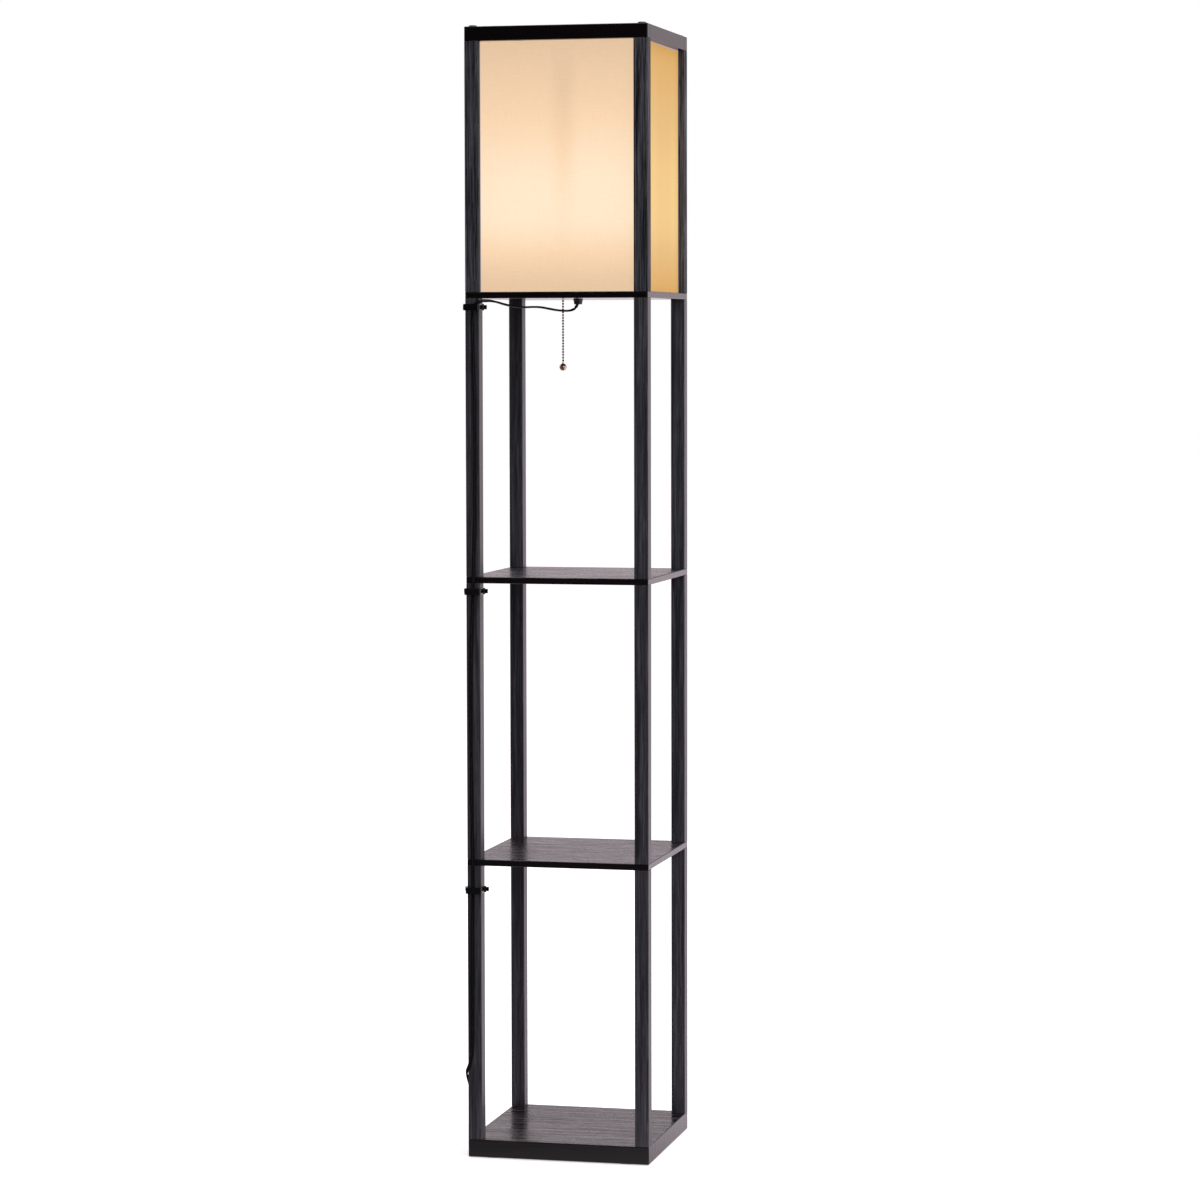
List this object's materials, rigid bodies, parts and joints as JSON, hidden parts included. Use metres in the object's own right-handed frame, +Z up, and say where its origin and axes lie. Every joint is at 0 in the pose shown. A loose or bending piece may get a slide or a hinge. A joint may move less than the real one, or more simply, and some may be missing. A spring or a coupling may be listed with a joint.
{
  "type": "bookshelf floor lamp",
  "caption": "Slim square tower of black posts and open shelves with a glowing panelled lamp box on top, worked by a pull chain.",
  "frame": {"origin": "on the floor below the middle of the square base", "axes": "+Z up, +X to the right and -Y to the front, the side that faces the viewer in the picture"},
  "size_m": [0.2716, 0.3203, 1.582],
  "materials": {
    "black_wood": "black open-grain finish, satin",
    "black_cap": "black finish, smooth satin",
    "shade": "translucent cream laminate, matt",
    "felt": "felt",
    "black_steel": "black coated steel, satin",
    "zinc_steel": "zinc plated",
    "brass": "plain",
    "brassed_shell": "brass plated, satin",
    "card": "brown card",
    "phenolic": "dark brown",
    "bulb_metal": "plain",
    "bulb_glass": "frosted",
    "chain_metal": "darkened brass",
    "antique_brass": "polished dark brass",
    "black_gloss_plastic": "gloss black",
    "black_cord": "satin black",
    "strap": "black"
  },
  "bodies": {
    "tower": {"foot_pads": "felt", "base_board": "black_wood", "base_bolts": "black_steel", "lower_shelf": "black_wood", "upper_shelf": "black_wood", "lamp_floor": "black_wood", "lower_studs": "zinc_steel", "middle_studs": "zinc_steel", "upper_studs": "zinc_steel", "cap_bolts": "black_steel", "threaded_inserts": "brass", "cord_clips": "black_gloss_plastic", "nipple": "brass", "nipple_nut": "zinc_steel", "nipple_washer": "zinc_steel", "cord_bushing": "black_gloss_plastic", "lead_in": "black_cord", "socket_cap": "brassed_shell", "socket_shell": "brassed_shell", "socket_liner": "card", "switch_body": "phenolic", "screw_shell": "brassed_shell", "centre_contact": "brass", "chain_guide": "brassed_shell", "bulb_base": "bulb_metal", "bulb_glass": "bulb_glass", "cord_run": "black_cord", "cord_hank": "black_cord", "cord_tail": "black_cord", "hank_tie": "strap", "plug_body": "black_cord", "plug_blades": "brass", "lower_post_front_left": "black_wood", "middle_post_front_left": "black_wood", "upper_post_front_left": "black_wood", "lamp_post_front_left": "black_wood", "lower_post_front_right": "black_wood", "middle_post_front_right": "black_wood", "upper_post_front_right": "black_wood", "lamp_post_front_right": "black_wood", "lower_post_back_left": "black_wood", "middle_post_back_left": "black_wood", "upper_post_back_left": "black_wood", "lamp_post_back_left": "black_wood", "lower_post_back_right": "black_wood", "middle_post_back_right": "black_wood", "upper_post_back_right": "black_wood", "lamp_post_back_right": "black_wood", "shade_panel_front": "shade", "cap_rail_front": "black_cap", "shade_panel_right": "shade", "cap_rail_right": "black_cap", "shade_panel_back": "shade", "cap_rail_back": "black_cap", "shade_panel_left": "shade", "cap_rail_left": "black_cap"},
    "pull_chain": {"chain_upper": "chain_metal"},
    "chain_swing": {"chain_middle": "chain_metal"},
    "chain_end": {"chain_lower": "chain_metal", "chain_ball": "antique_brass"}
  },
  "joints": [
    {"name": "chain_pull", "type": "slide", "parent": "tower", "child": "pull_chain", "axis": [0, 0, -1], "range_m": [0, 0.007], "stiffness_N_per_m": 1000, "springref_m": -0.003},
    {"name": "chain_swing_x", "type": "hinge", "parent": "pull_chain", "child": "chain_swing", "pos_m": [-0.022, 0, 1.2044], "axis": [1, 0, 0], "range_deg": [-25, 25]},
    {"name": "chain_swing_y", "type": "hinge", "parent": "chain_swing", "child": "chain_end", "pos_m": [-0.022, 0, 1.1844], "axis": [0, 1, 0], "range_deg": [-25, 25]}
  ]
}
